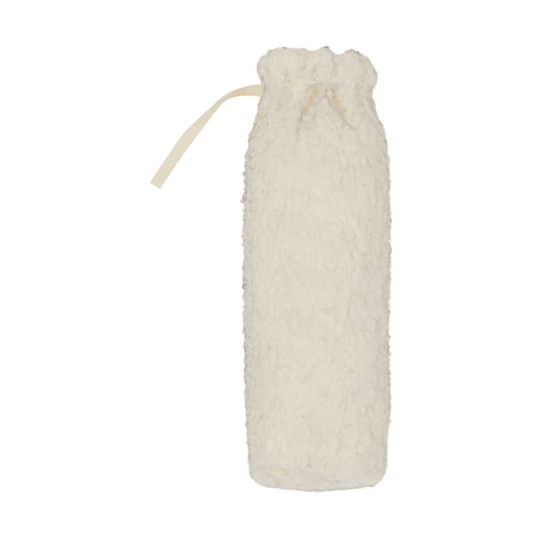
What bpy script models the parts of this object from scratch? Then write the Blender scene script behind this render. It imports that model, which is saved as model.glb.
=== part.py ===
"""Hot water bottle cover of teddy fleece, lying on its back on a floor at z = 0.

Two fleece panels are sewn together down both sides and round the bottom. The mouth is at +Y, drawn in at a
neck under a flared, lobed frill, and a flat cotton tape comes out of the left side seam at the neck. The walls
reach from the back of the cloth to the tips of the pile. Tables are in millimetres and degrees.
"""

from math import copysign, cos, exp, hypot, pi, radians, sin, sqrt

import bmesh
import bpy
from mathutils import Matrix, Vector, noise

MM = 0.001

# ---- driving dimensions, mm ----
WALL = 8.0  # cloth and pile together
SEAM_GAP = 0.4  # between the two panels' sewn edges
FLOOR = 0.0
RIM_Y = 168.5  # the frill's edge before its lobes
END_START_Y = -136.0  # where the bottom end starts to round over
END_Y = -164.8  # the bottom seam at the corners
END_BOW = 5.4  # how much further the bottom seam reaches at its middle
CORNER_R = 11.5  # the bottom corners seen from above
END_ROWS = 8
LIP_INSET = 2.6  # the rounded lip of the frill
SEAM_GROOVE = 2.0  # how far the seam draws the pile in
SEAM_GROOVE_REACH = 5.0
LUMP = 0.9  # height of the uneven lumps in the pile
LUMP_SPAN = 24.0
INNER_FOLD_SHARE = 0.6  # how much of each fold shows on the inside

TAPE_WIDTH = 10.0
TAPE_THICK = 1.0
TAPE_CLEAR = 0.3
TAPE_Y = 137.8  # the middle of the tape where it is sewn in
TAPE_ROOT_Z = 36.0
TAPE_ON_FLOOR_Z = 0.55
TAPE_STEP = 2.6

# The cover's outline in plan and from the side: how far it reaches left, right, up and down at each station.
# Down goes below the floor where the cover's own weight flattens it. square shapes the section: 2 is an oval.
# seam is the height of the sewn edges, and roll is how far round, in degrees, they are turned towards the top
# on the left side.
SECTIONS = [
    # y,     left, right, top,  base, square, seam, roll
    (168.5, 43.5, 40.5, 67.0, 6.5, 2.2, 37.0, 0.0),
    (162.0, 47.0, 44.0, 70.5, 4.5, 2.2, 36.5, 0.0),
    (155.0, 47.5, 47.0, 70.5, 4.0, 2.2, 36.0, 0.0),
    (148.0, 45.3, 47.5, 67.5, 5.0, 2.2, 36.0, 0.0),
    (141.0, 43.2, 46.0, 64.5, 6.5, 2.2, 36.0, 0.0),
    (135.0, 43.0, 43.8, 62.5, 7.0, 2.2, 36.0, 0.0),
    (128.0, 45.0, 45.2, 65.0, 6.0, 2.2, 36.0, 0.0),
    (121.0, 46.8, 47.5, 69.0, 4.0, 2.2, 36.5, 2.0),
    (113.0, 49.3, 50.3, 73.0, 2.0, 2.25, 37.5, 6.0),
    (104.0, 52.2, 53.0, 77.5, 0.0, 2.3, 39.0, 11.0),
    (90.0, 54.6, 55.0, 82.0, -2.5, 2.35, 41.0, 16.0),
    (75.0, 56.0, 55.8, 85.0, -4.0, 2.4, 42.0, 19.0),
    (50.0, 57.0, 56.3, 86.0, -5.0, 2.45, 43.0, 20.0),
    (-25.0, 57.0, 56.3, 86.0, -5.0, 2.45, 43.0, 20.0),
    (-65.0, 56.2, 55.6, 86.0, -5.0, 2.45, 43.0, 18.0),
    (-90.0, 55.8, 56.8, 86.0, -5.0, 2.45, 42.5, 14.0),
    (-122.0, 55.2, 55.8, 85.0, -4.5, 2.4, 41.0, 6.0),
    (-140.0, 54.6, 55.4, 83.0, -4.0, 2.4, 40.0, 2.0),
    (-152.0, 54.0, 55.0, 82.0, -4.0, 2.4, 39.5, 0.0),
    (-164.8, 53.5, 54.5, 82.0, -4.0, 2.4, 39.5, 0.0),
]

# The frill's edge: how far it stands past RIM_Y, by the distance across, on the front and on the back.
RIM = [
    # x,    front, back
    (-50.0, -8.0, -8.0),
    (-44.0, -5.5, -5.5),
    (-39.0, -1.5, -3.5),
    (-32.0, 1.0, -1.0),
    (-22.0, 0.5, -2.5),
    (-12.0, -0.5, -1.0),
    (-6.0, -1.8, -0.5),
    (3.0, 0.3, -2.0),
    (11.0, -1.0, -1.2),
    (16.2, -6.5, -1.0),
    (21.0, -2.8, -1.8),
    (31.0, -2.0, -3.5),
    (37.0, -3.2, -4.5),
    (42.0, -8.0, -7.0),
    (50.0, -11.0, -11.0),
]
RIM_FADE_Y = 138.0  # the lobes' edge fades out down to here

# Gathers and creases. Each runs through three points, given as the angle round the cover from the right seam over
# the top (90) to the left seam (180) and on under the back (270), and the station y.
FOLDS = [
    # angle1,  y1,  angle2,  y2,   angle3,  y3,   depth1, depth3, half width
    (92.5, 136.0, 97.5, 125.0, 104.5, 113.0, 9.0, 6.5, 3.8),  # front gather, left of the middle
    (104.5, 113.0, 105.0, 102.0, 108.0, 80.0, 6.5, 0.8, 4.2),  # its soft tail
    (76.5, 135.0, 71.0, 127.5, 66.5, 118.0, 8.6, 6.0, 3.8),  # front gather, right of the middle
    (66.5, 118.0, 65.0, 108.0, 66.0, 95.0, 6.0, 0.8, 4.2),  # its soft tail
    (125.0, 133.0, 126.5, 128.0, 127.5, 120.0, 4.0, 1.6, 4.0),  # dimple near the left shoulder
    (152.0, 128.0, 154.0, 112.0, 155.0, 96.0, 3.0, 1.0, 4.5),  # long crease beside the left seam
    (38.0, 136.0, 36.0, 126.0, 34.0, 110.0, 4.0, 1.0, 4.8),  # right shoulder
    (16.0, 134.0, 15.0, 124.0, 14.0, 110.0, 3.4, 1.0, 5.0),
    (97.0, 169.0, 99.5, 155.0, 110.0, 144.0, 3.0, 4.2, 4.0),  # frill, between the left and the middle lobe
    (91.5, 155.0, 92.5, 149.0, 92.5, 142.0, 2.0, 3.2, 3.6),
    (69.0, 170.0, 70.0, 160.0, 72.0, 146.0, 5.5, 2.6, 3.6),  # frill, the notch beside the right lobe
    (133.0, 168.0, 132.0, 158.0, 130.0, 146.0, 1.4, 2.8, 5.0),
    (35.0, 166.0, 34.0, 156.0, 33.0, 146.0, 1.6, 3.0, 5.0),
    (158.0, 166.0, 156.0, 154.0, 155.0, 144.0, 2.0, 3.0, 4.5),
    (212.0, 166.0, 213.0, 142.0, 216.0, 112.0, 3.6, 1.6, 4.6),  # back gathers, from frill to body
    (242.0, 168.0, 245.0, 140.0, 243.0, 106.0, 4.4, 2.2, 4.6),
    (268.0, 168.0, 264.0, 139.0, 266.0, 102.0, 3.4, 2.4, 4.6),
    (290.0, 168.0, 294.0, 140.0, 297.0, 104.0, 4.8, 2.0, 4.6),
    (318.0, 165.0, 322.0, 141.0, 320.0, 112.0, 3.6, 1.6, 4.6),
    (343.0, 160.0, 344.0, 139.0, 342.0, 114.0, 3.0, 1.2, 4.6),
    (70.0, 30.0, 66.0, -10.0, 72.0, -48.0, 1.1, 0.8, 8.0),  # faint long hollows in the body
    (112.0, -20.0, 116.0, -60.0, 110.0, -104.0, 0.8, 1.1, 8.0),
    (48.0, -40.0, 46.0, -80.0, 50.0, -118.0, 1.0, 1.2, 7.0),
]
FOLD_STEPS = 14
FOLD_REACH = 60.0  # no fold shows further than this from its middle

# The tape's route from its sewn end to its cut end. roll turns it about its own length: 0 lies flat, and with a
# positive roll the edge on the outside of its bend stands up.
TAPE_ROUTE = [
    # x,     y,     z,    roll
    (-35.8, TAPE_Y, TAPE_ROOT_Z, 0.0),
    (-38.8, TAPE_Y, TAPE_ROOT_Z, 0.0),
    (-42.2, TAPE_Y, TAPE_ROOT_Z, 2.0),
    (-46.4, 137.9, 35.7, 18.0),
    (-51.7, 137.8, 34.6, 34.0),
    (-59.7, 136.7, 31.4, 51.0),
    (-67.8, 134.3, 26.4, 62.0),
    (-74.0, 130.9, 21.4, 62.0),
    (-79.9, 125.7, 15.9, 56.0),
    (-85.9, 119.9, 10.4, 46.0),
    (-92.1, 113.4, 5.7, 33.0),
    (-98.3, 106.5, 2.6, 16.0),
    (-104.4, 98.9, 0.9, 3.0),
    (-110.4, 90.2, TAPE_ON_FLOOR_Z, 0.0),
    (-116.7, 81.2, TAPE_ON_FLOOR_Z, 0.0),
    (-122.9, 71.9, TAPE_ON_FLOOR_Z, 0.0),
    (-127.0, 65.4, TAPE_ON_FLOOR_Z, 0.0),
]

# Columns round each panel, in degrees from the right seam: closer together beside the seams.
SEAM_COLUMNS = (0.0, 2.0, 5.0, 10.0)
FACE_COLUMNS = 36
# Rows along the cover, from the rim to where the end rounds over.
ROWS_Y = (
    [168.5, 167.2, 164.6, 161.4, 157.8, 154.0, 150.4, 147.2]
    + [144.6, 143.4, 140.6, 137.8, 135.0, 132.2, 131.0, 128.2, 125.2, 121.6, 117.6, 113.4, 109.0, 104.0]
    + [98.5, 92.0, 84.0, 75.0, 64.0, 52.0, 36.0, 20.0, 4.0, -12.0, -28.0, -44.0, -60.0, -76.0, -92.0]
    + [-106.0, -120.0, END_START_Y]
)

ROW_SLACK = 0.1  # how far the lobes may shift the rows that border the tape's recess

FLEECE_COLOUR = (0.735, 0.690, 0.590, 1.0)
FLEECE_ROUGHNESS = 0.95
TAPE_COLOUR = (0.770, 0.700, 0.560, 1.0)
TAPE_ROUGHNESS = 0.85
CREASE_ANGLE = radians(75)


def through(rows, at, column):
    """The value of a table's column at a station, on a smooth curve through its rows."""
    rows = sorted(rows, key=lambda row: row[0])
    at = min(max(at, rows[0][0]), rows[-1][0])
    i = max(k for k in range(len(rows) - 1) if rows[k][0] <= at)
    a, b = rows[i], rows[i + 1]
    before, after = rows[max(i - 1, 0)], rows[min(i + 2, len(rows) - 1)]
    span = b[0] - a[0]
    t = (at - a[0]) / span
    slope_a = (b[column] - before[column]) / (b[0] - before[0]) * span
    slope_b = (after[column] - a[column]) / (after[0] - a[0]) * span
    return (
        a[column] * (2 * t**3 - 3 * t**2 + 1)
        + slope_a * (t**3 - 2 * t**2 + t)
        + b[column] * (3 * t**2 - 2 * t**3)
        + slope_b * (t**3 - t**2)
    )


def along(first, middle, last, t):
    """A point on the bend through three values, t running from 0 to 1."""
    return (
        first * (1 - t) * (1 - 2 * t)
        + middle * 4 * t * (1 - t)
        + last * t * (2 * t - 1)
    )


def fold_path(row):
    """Points along a fold: angle, station and depth."""
    angle1, y1, angle2, y2, angle3, y3, depth1, depth3 = row[:8]
    steps = [k / FOLD_STEPS for k in range(FOLD_STEPS + 1)]
    return [
        (along(angle1, angle2, angle3, t), along(y1, y2, y3, t), depth1 + (depth3 - depth1) * t)
        for t in steps
    ]


FOLD_PATHS = [(fold_path(row), row[8]) for row in FOLDS]


def fold_depth(turn, y, radius):
    """How far the folds draw the cloth in at this place."""
    deepest = 0.0
    for path, half_width in FOLD_PATHS:
        if abs(y - path[FOLD_STEPS // 2][1]) > FOLD_REACH:
            continue
        for angle, at, depth in path:
            across = radians((turn - angle + 180) % 360 - 180) * radius
            away = (across**2 + (y - at) ** 2) / half_width**2
            deepest = max(deepest, depth * exp(-away))
    return deepest


def cover_point(turn, y, inside):
    """A point of the cover in mm. turn is the angle round it, and inside is 0 for the pile's tips or WALL."""
    end = max(0.0, (END_START_Y - y) / (END_START_Y - END_Y - inside))
    left, right, top, base, square, seam, roll = (through(SECTIONS, y, k) for k in range(1, 8))
    angle = radians(turn - roll)
    over = copysign(abs(cos(angle)) ** (2 / square), cos(angle))
    up = copysign(abs(sin(angle)) ** (2 / square), sin(angle))

    rounded = sqrt(max(0.0, 1 - end**2))
    height = (top - seam if up > 0 else seam - base) - inside
    width = (right if over > 0 else left) - inside
    into_corner = max(0.0, END_Y + CORNER_R - y)
    corner = CORNER_R - inside
    width -= corner - sqrt(max(0.0, corner**2 - into_corner**2))
    x = width * over
    z = seam + height * rounded * up

    radius = hypot(x, z - seam)
    if radius > 0:
        draw_in = fold_depth(turn, y, radius) * (INNER_FOLD_SHARE if inside else 1.0) * rounded
        if not inside:
            from_seam = radians(min(turn % 180, 180 - turn % 180)) * radius
            draw_in += SEAM_GROOVE * exp(-((from_seam / SEAM_GROOVE_REACH) ** 2))
            draw_in += LUMP * noise.noise(Vector((x, y, z)) / LUMP_SPAN) * rounded
        x *= 1 - draw_in / radius
        z = seam + (z - seam) * (1 - draw_in / radius)
    z = max(z, FLOOR + inside)

    rim_share = min(1.0, max(0.0, (y - RIM_FADE_Y) / (RIM_Y - RIM_FADE_Y)))
    lobe = through(RIM, x, 1 if turn <= 180 else 2)
    bow = END_BOW * end**2 * (1 - (x / (left + right) * 2) ** 2)
    return Vector((x, y + lobe * rim_share**2 - bow, z))


def material(name, colour, roughness):
    made = bpy.data.materials.new(name)
    made.use_nodes = True
    shader = made.node_tree.nodes["Principled BSDF"]
    shader.inputs["Base Color"].default_value = colour
    shader.inputs["Roughness"].default_value = roughness
    shader.inputs["Metallic"].default_value = 0.0
    made.diffuse_color = colour
    return made


def add_object(name, bm, colour, roughness):
    bmesh.ops.recalc_face_normals(bm, faces=bm.faces)
    if bm.calc_volume(signed=True) < 0:
        bmesh.ops.reverse_faces(bm, faces=bm.faces)
    mesh = bpy.data.meshes.new(name)
    bm.to_mesh(mesh)
    bm.free()
    mesh.materials.append(material(name, colour, roughness))
    mesh.shade_smooth()
    mesh.set_sharp_from_angle(angle=CREASE_ANGLE)
    made = bpy.data.objects.new(name, mesh)
    bpy.context.collection.objects.link(made)
    return made


def panel_rows(first_turn, inside):
    """The panel's grid of points on one face of the cloth, from the frill's edge to the bottom seam."""
    reach = (180 - 2 * SEAM_COLUMNS[-1]) / FACE_COLUMNS
    columns = list(SEAM_COLUMNS)
    columns += [SEAM_COLUMNS[-1] + reach * k for k in range(1, FACE_COLUMNS)]
    columns += [180 - c for c in reversed(SEAM_COLUMNS)]
    end_length = END_START_Y - END_Y - inside
    ends = [END_START_Y - end_length * sin(k / END_ROWS * pi / 2) for k in range(1, END_ROWS + 1)]
    rows = [[cover_point(first_turn + c, y, inside) for c in columns] for y in ROWS_Y + ends]
    if inside:  # the lip is thinner than the wall
        for point in rows[0]:
            point.y -= LIP_INSET
    return rows


def open_seam(rows, side, ends_with_left):
    """Parts the sewn edges by the seam's gap, and by the tape's thickness where the tape is sewn in."""
    recess = (TAPE_THICK + 2 * TAPE_CLEAR) / 2
    recess_reach = TAPE_WIDTH / 2 + 2 * TAPE_CLEAR + ROW_SLACK
    for row in rows:
        for at, is_left in ((0, not ends_with_left), (-1, ends_with_left)):
            in_recess = is_left and abs(row[at].y - TAPE_Y) <= recess_reach
            row[at].z += side * (recess if in_recess else SEAM_GAP / 2)
    for point in rows[-1][1:-1]:
        point.z += side * SEAM_GAP / 2


def panel(name, first_turn, side):
    """One fleece panel as a closed shell: pile side, cloth side, lip, and the sewn edges between them.

    The front panel runs round from turn 0 to 180 and lies on the seam's upper side, and the back one from 180 on.
    """
    faces_of = [panel_rows(first_turn, inside) for inside in (0.0, WALL)]
    for rows in faces_of:
        open_seam(rows, side, ends_with_left=first_turn == 0)
    bm = bmesh.new()
    outer, inner = ([[bm.verts.new(p * MM) for p in row] for row in rows] for rows in faces_of)
    last_row, last_column = len(outer) - 1, len(outer[0]) - 1
    for grid in (outer, inner):
        for i in range(last_row):
            for j in range(last_column):
                corners = (grid[i][j], grid[i][j + 1], grid[i + 1][j + 1], grid[i + 1][j])
                bm.faces.new(corners)
    for i in (0, last_row):
        for j in range(last_column):
            bm.faces.new((outer[i][j], inner[i][j], inner[i][j + 1], outer[i][j + 1]))
    for j in (0, last_column):
        for i in range(last_row):
            bm.faces.new((outer[i][j], inner[i][j], inner[i + 1][j], outer[i + 1][j]))
    return add_object(name, bm, FLEECE_COLOUR, FLEECE_ROUGHNESS)


def tape_stations():
    """Points and rolls at even steps along a smooth curve through the tape's route."""
    lengths = [0.0]
    for a, b in zip(TAPE_ROUTE, TAPE_ROUTE[1:]):
        lengths.append(lengths[-1] + (Vector(b[:3]) - Vector(a[:3])).length)
    rows = [(length, *row) for length, row in zip(lengths, TAPE_ROUTE)]
    count = round(lengths[-1] / TAPE_STEP)
    stations = [lengths[-1] * k / count for k in range(count + 1)]
    return [[through(rows, at, column) for column in range(1, 5)] for at in stations]


def tape(name):
    """The flat cotton tape: a thin strip that is sewn in flat, turns as it falls and lies flat on the floor."""
    stations = tape_stations()
    points = [Vector(row[:3]) for row in stations]
    bm = bmesh.new()
    rings = []
    for i, (point, row) in enumerate(zip(points, stations)):
        ahead = (points[min(i + 1, len(points) - 1)] - points[max(i - 1, 0)]).normalized()
        outward = ahead.cross(Vector((0, 0, 1))).normalized()  # to the outside of the tape's bend
        turn = Matrix.Rotation(radians(-row[3]), 3, ahead)
        across = (turn @ outward) * TAPE_WIDTH / 2
        through_it = ahead.cross(across).normalized() * TAPE_THICK / 2
        corners = (across + through_it, -across + through_it, -across - through_it, across - through_it)
        rings.append([bm.verts.new((point + corner) * MM) for corner in corners])
    for a, b in zip(rings, rings[1:]):
        for k in range(4):
            bm.faces.new((a[k], a[(k + 1) % 4], b[(k + 1) % 4], b[k]))
    bm.faces.new(rings[0])
    bm.faces.new(rings[-1])
    return add_object(name, bm, TAPE_COLOUR, TAPE_ROUGHNESS)


for old in list(bpy.data.objects):
    bpy.data.objects.remove(old)

cover = bpy.data.objects.new("hot_water_bottle_cover", None)
bpy.context.collection.objects.link(cover)
pieces = [
    panel("front_panel", first_turn=0, side=1),
    panel("back_panel", first_turn=180, side=-1),
    tape("tie_tape"),
]
for piece in pieces:
    piece.parent = cover
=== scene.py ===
"""Looks of the hot water bottle cover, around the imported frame: woven tape, fleece panels and curly pile."""

from math import exp, pi, radians

import bmesh
import bpy
import numpy as np
from mathutils import Matrix, Vector, kdtree, noise
from mathutils.bvhtree import BVHTree


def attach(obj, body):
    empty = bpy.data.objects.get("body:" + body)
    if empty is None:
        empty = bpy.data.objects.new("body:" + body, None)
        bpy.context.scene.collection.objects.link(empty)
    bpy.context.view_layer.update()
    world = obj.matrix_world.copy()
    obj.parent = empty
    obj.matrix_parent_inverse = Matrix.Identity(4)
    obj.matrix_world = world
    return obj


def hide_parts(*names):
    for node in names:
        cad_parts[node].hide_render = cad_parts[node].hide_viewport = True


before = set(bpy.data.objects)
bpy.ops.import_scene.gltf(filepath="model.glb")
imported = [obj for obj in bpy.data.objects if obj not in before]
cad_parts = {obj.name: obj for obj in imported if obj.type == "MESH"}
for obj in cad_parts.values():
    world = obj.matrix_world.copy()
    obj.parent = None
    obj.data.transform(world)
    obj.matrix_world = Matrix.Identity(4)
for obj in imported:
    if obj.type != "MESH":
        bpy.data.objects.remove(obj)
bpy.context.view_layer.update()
MM = 0.001

# ---- Camera ----
# The cover lies on its back and the camera looks straight down on it, the mouth to the top of the picture.
PHOTO_PIXELS = 540
MM_PER_PIXEL = 0.77
ORIGIN_PIXEL_X, ORIGIN_PIXEL_Y = 317.0, 269.0  # where the frame's origin shows in the photograph
CAMERA_AWAY = 1.6
FOCUS_HEIGHT = 0.04

lens = bpy.data.cameras.new("camera")
lens.sensor_width = 36.0
lens.lens = lens.sensor_width * CAMERA_AWAY / (PHOTO_PIXELS * MM_PER_PIXEL * MM)
camera = bpy.data.objects.new("camera", lens)
camera.location = (
    (PHOTO_PIXELS / 2 - ORIGIN_PIXEL_X) * MM_PER_PIXEL * MM,
    (ORIGIN_PIXEL_Y - PHOTO_PIXELS / 2) * MM_PER_PIXEL * MM,
    CAMERA_AWAY + FOCUS_HEIGHT,
)
bpy.context.scene.collection.objects.link(camera)
bpy.context.scene.camera = camera

# ---- Tie tape ----
# A flat cotton tape, woven 10 mm wide with a firmer selvedge down each edge and cut straight across. It is
# caught in the left side seam at the neck, turns on edge as it falls, and lies flat on the floor to its end.
TAPE_WIDTH = 10.0 * MM
TAPE_STEP = 0.9 * MM
TAPE_EXIT = (-0.0422, 0.1378, 0.0360)
TAPE_RIPPLE, TAPE_RIPPLE_SIZE = 0.10 * MM, 9 * MM  # how high and how long its faint ripples are
YARN_PITCH = 0.42 * MM
TAPE_SHADE, TAPE_CREAM = (0.84, 0.755, 0.597, 1), (0.94, 0.883, 0.74, 1)  # between the yarns and on them
TAPE_PAINTED_BOUNCE = (1.08, 0.92, 0.72, 1)  # painted warm bounce light on the lower edge where the tape turns on edge
BOUNCE_AT, BOUNCE_REACH = 26.0 * MM, 16.0 * MM  # along the tape
BOUNCE_FALL, BOUNCE_MIDDLE = -90.0, 0.95  # for each metre across the tape, and on its middle line
CLOTH_SPECULAR = 0.15
NODE_GRID = (220, -200)
TAPE_ROUTE = [
    # x, y, z in mm and the roll in degrees: 0 lies flat, and more stands the outer edge up
    (-35.8, 137.8, 36.0, 0.0),
    (-38.8, 137.8, 36.0, 6.0),
    (-42.2, 137.8, 36.0, 16.0),
    (-46.4, 137.9, 35.7, 29.0),
    (-51.7, 137.8, 34.6, 43.0),
    (-59.7, 136.7, 31.4, 59.0),
    (-67.8, 134.3, 26.4, 71.0),
    (-74.0, 130.9, 21.4, 74.0),
    (-79.9, 125.7, 15.9, 67.0),
    (-85.9, 119.9, 10.4, 56.0),
    (-92.1, 113.4, 5.7, 40.0),
    (-98.3, 106.5, 2.6, 20.0),
    (-104.4, 98.9, 0.9, 4.0),
    (-110.4, 90.2, 0.55, 0.0),
    (-116.7, 81.2, 0.55, 0.0),
    (-122.9, 71.9, 0.55, 0.0),
    (-127.0, 65.4, 0.55, 0.0),
]
# Across the tape: the distance from its middle and half its thickness there, in mm. The selvedge is thicker.
TAPE_PROFILE = [
    (-5.0, 0.14),
    (-4.85, 0.36),
    (-4.5, 0.46),
    (-4.05, 0.44),
    (-3.7, 0.36),
    (-2.0, 0.35),
    (0.0, 0.35),
    (2.0, 0.35),
    (3.7, 0.36),
    (4.05, 0.44),
    (4.5, 0.46),
    (4.85, 0.36),
    (5.0, 0.14),
]


def tape_stations():
    """The tape's middle line and its roll, at even steps on a smooth curve through the route."""
    rows = np.array(TAPE_ROUTE) * (MM, MM, MM, 1.0)
    at = np.concatenate([[0.0], np.cumsum(np.linalg.norm(np.diff(rows[:, :3], axis=0), axis=1))])
    slope = np.empty_like(rows)
    slope[1:-1] = (rows[2:] - rows[:-2]) / (at[2:] - at[:-2])[:, None]
    slope[0] = (rows[1] - rows[0]) / (at[1] - at[0])
    slope[-1] = (rows[-1] - rows[-2]) / (at[-1] - at[-2])
    stations = np.linspace(0.0, at[-1], round(at[-1] / TAPE_STEP) + 1)
    i = np.clip(np.searchsorted(at, stations, side="right") - 1, 0, len(at) - 2)
    span = (at[i + 1] - at[i])[:, None]
    t = (stations - at[i])[:, None] / span
    return (
        rows[i] * (2 * t**3 - 3 * t**2 + 1)
        + slope[i] * span * (t**3 - 2 * t**2 + t)
        + rows[i + 1] * (3 * t**2 - 2 * t**3)
        + slope[i + 1] * span * (t**3 - t**2)
    )


def make_tape():
    """The tape as one closed strip, with its own UV map in metres: across it and along it."""
    stations = tape_stations()
    middles = [Vector(row[:3]) for row in stations]
    upper = [(across * MM, half * MM) for across, half in TAPE_PROFILE]
    lower = [(across, -half) for across, half in reversed(upper)]
    outline = upper + lower
    bm = bmesh.new()
    uv = bm.loops.layers.uv.new("cloth")
    rings = []
    for i, middle in enumerate(middles):
        ahead = (middles[min(i + 1, len(middles) - 1)] - middles[max(i - 1, 0)]).normalized()
        outward = ahead.cross(Vector((0, 0, 1))).normalized()
        across = Matrix.Rotation(radians(-stations[i][3]), 3, ahead) @ outward
        upright = across.cross(ahead).normalized()
        ripple = TAPE_RIPPLE * noise.noise(middle / TAPE_RIPPLE_SIZE)
        rings.append([bm.verts.new(middle + across * u + upright * (v + ripple)) for u, v in outline])
    for i, (a, b) in enumerate(zip(rings, rings[1:])):
        for k in range(len(outline)):
            m = (k + 1) % len(outline)
            face = bm.faces.new((a[k], b[k], b[m], a[m]))
            for loop, (ring, column) in zip(face.loops, ((i, k), (i + 1, k), (i + 1, m), (i, m))):
                loop[uv].uv = (outline[column][0], ring * TAPE_STEP)
    bm.faces.new(rings[0])
    bm.faces.new(list(reversed(rings[-1])))
    bmesh.ops.recalc_face_normals(bm, faces=bm.faces)
    if bm.calc_volume(signed=True) < 0:
        bmesh.ops.reverse_faces(bm, faces=bm.faces)
    mesh = bpy.data.meshes.new("tie_tape_woven")
    bm.to_mesh(mesh)
    bm.free()
    mesh.shade_smooth()
    mesh.set_sharp_from_angle(angle=radians(60))
    made = bpy.data.objects.new("tie_tape_woven", mesh)
    bpy.context.scene.collection.objects.link(made)
    return made, middles


def new_material(name, roughness, sheen, sheen_roughness):
    """An empty cloth material: a Principled shader with its plain numbers on its own sockets."""
    made = bpy.data.materials.new(name)
    made.use_nodes = True
    shader = made.node_tree.nodes["Principled BSDF"]
    shader.inputs["Roughness"].default_value = roughness
    shader.inputs["Specular IOR Level"].default_value = CLOTH_SPECULAR
    shader.inputs["Sheen Weight"].default_value = sheen
    shader.inputs["Sheen Roughness"].default_value = sheen_roughness
    return made, made.node_tree, shader


def math_node(tree, operation, place, first, second=None):
    """A Math node whose inputs are sockets or plain numbers."""
    made = tree.nodes.new("ShaderNodeMath")
    made.operation = operation
    made.location = (place[0] * NODE_GRID[0], place[1] * NODE_GRID[1])
    for socket, value in zip(made.inputs, (first, second)):
        if isinstance(value, bpy.types.NodeSocket):
            tree.links.new(value, socket)
        elif value is not None:
            socket.default_value = value
    return made.outputs[0]


def noise_texture(tree, vector, scale):
    """A Noise texture of three octaves on these coordinates."""
    made = tree.nodes.new("ShaderNodeTexNoise")
    made.inputs["Scale"].default_value = scale
    made.inputs["Detail"].default_value = 3.0
    tree.links.new(vector, made.inputs["Vector"])
    return made


def add_bump(tree, shader, height, strength, distance):
    """Raises the shading by a height from 0 to 1, this far in metres at its most."""
    bump = tree.nodes.new("ShaderNodeBump")
    bump.inputs["Strength"].default_value = strength
    bump.inputs["Distance"].default_value = distance
    tree.links.new(height, bump.inputs["Height"])
    tree.links.new(bump.outputs[0], shader.inputs["Normal"])


def tape_material():
    """Plain woven cotton: warp and weft yarns cross over and under, in a cream that is darker between, with
    painted warm bounce light on the lower edge where the tape turns.
    """
    made, tree, shader = new_material("cream_cotton_tape", 0.85, 0.25, 0.45)
    uv = tree.nodes.new("ShaderNodeUVMap")
    uv.uv_map = "cloth"
    split = tree.nodes.new("ShaderNodeSeparateXYZ")
    tree.links.new(uv.outputs["UV"], split.inputs[0])
    across = math_node(tree, "DIVIDE", (-6, 0), split.outputs[0], YARN_PITCH)
    along = math_node(tree, "DIVIDE", (-6, 1), split.outputs[1], YARN_PITCH)
    both = math_node(
        tree,
        "ADD",
        (-5, 2),
        math_node(tree, "FLOOR", (-5, 0), across),
        math_node(tree, "FLOOR", (-5, 1), along),
    )
    over = math_node(tree, "FLOORED_MODULO", (-4, 2), both, 2.0)
    half_turn = math_node(tree, "MULTIPLY", (-4, 0), math_node(tree, "FRACT", (-5, 3), across), pi)
    warp = math_node(tree, "SINE", (-3, 0), half_turn)
    half_turn = math_node(tree, "MULTIPLY", (-4, 1), math_node(tree, "FRACT", (-5, 4), along), pi)
    weft = math_node(tree, "SINE", (-3, 1), half_turn)
    height = tree.nodes.new("ShaderNodeMix")
    tree.links.new(over, height.inputs[0])
    tree.links.new(warp, height.inputs[2])
    tree.links.new(weft, height.inputs[3])
    slub = noise_texture(tree, uv.outputs["UV"], 900.0)
    uneven = math_node(tree, "ADD", (-2, 1), slub.outputs[0], 0.45)
    tone = math_node(tree, "MULTIPLY", (-1, 0), height.outputs[0], uneven)
    ramp = tree.nodes.new("ShaderNodeValToRGB")
    ramp.color_ramp.elements[0].position = 0.05
    ramp.color_ramp.elements[0].color = TAPE_SHADE
    ramp.color_ramp.elements[1].position = 0.75
    ramp.color_ramp.elements[1].color = TAPE_CREAM
    tree.links.new(tone, ramp.inputs[0])
    # painted warm bounce light, strongest on the lower edge near where the tape turns
    painted_bounce = tree.nodes.new("ShaderNodeMix")
    painted_bounce.data_type = "RGBA"
    painted_bounce.blend_type = "MULTIPLY"
    painted_bounce.inputs[7].default_value = TAPE_PAINTED_BOUNCE
    tree.links.new(ramp.outputs[0], painted_bounce.inputs[6])
    past_turn = math_node(tree, "SUBTRACT", (-1, 3), split.outputs[1], BOUNCE_AT)
    from_turn = math_node(tree, "ABSOLUTE", (0, 3), past_turn)
    near_turn = math_node(tree, "DIVIDE", (1, 3), from_turn, BOUNCE_REACH)
    lower_edge = math_node(tree, "MULTIPLY", (0, 4), split.outputs[0], BOUNCE_FALL)
    lower_edge = math_node(tree, "ADD", (1, 4), lower_edge, BOUNCE_MIDDLE)
    bounce_share = math_node(tree, "SUBTRACT", (2, 3), lower_edge, near_turn)
    bounce_share.node.use_clamp = True
    tree.links.new(bounce_share, painted_bounce.inputs[0])
    tree.links.new(painted_bounce.outputs[2], shader.inputs["Base Color"])
    add_bump(tree, shader, height.outputs[0], 0.6, 0.12 * MM)
    return made


tie_tape, tape_middles = make_tape()
tie_tape.data.materials.append(tape_material())
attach(tie_tape, "root")
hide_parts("tie_tape")

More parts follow.
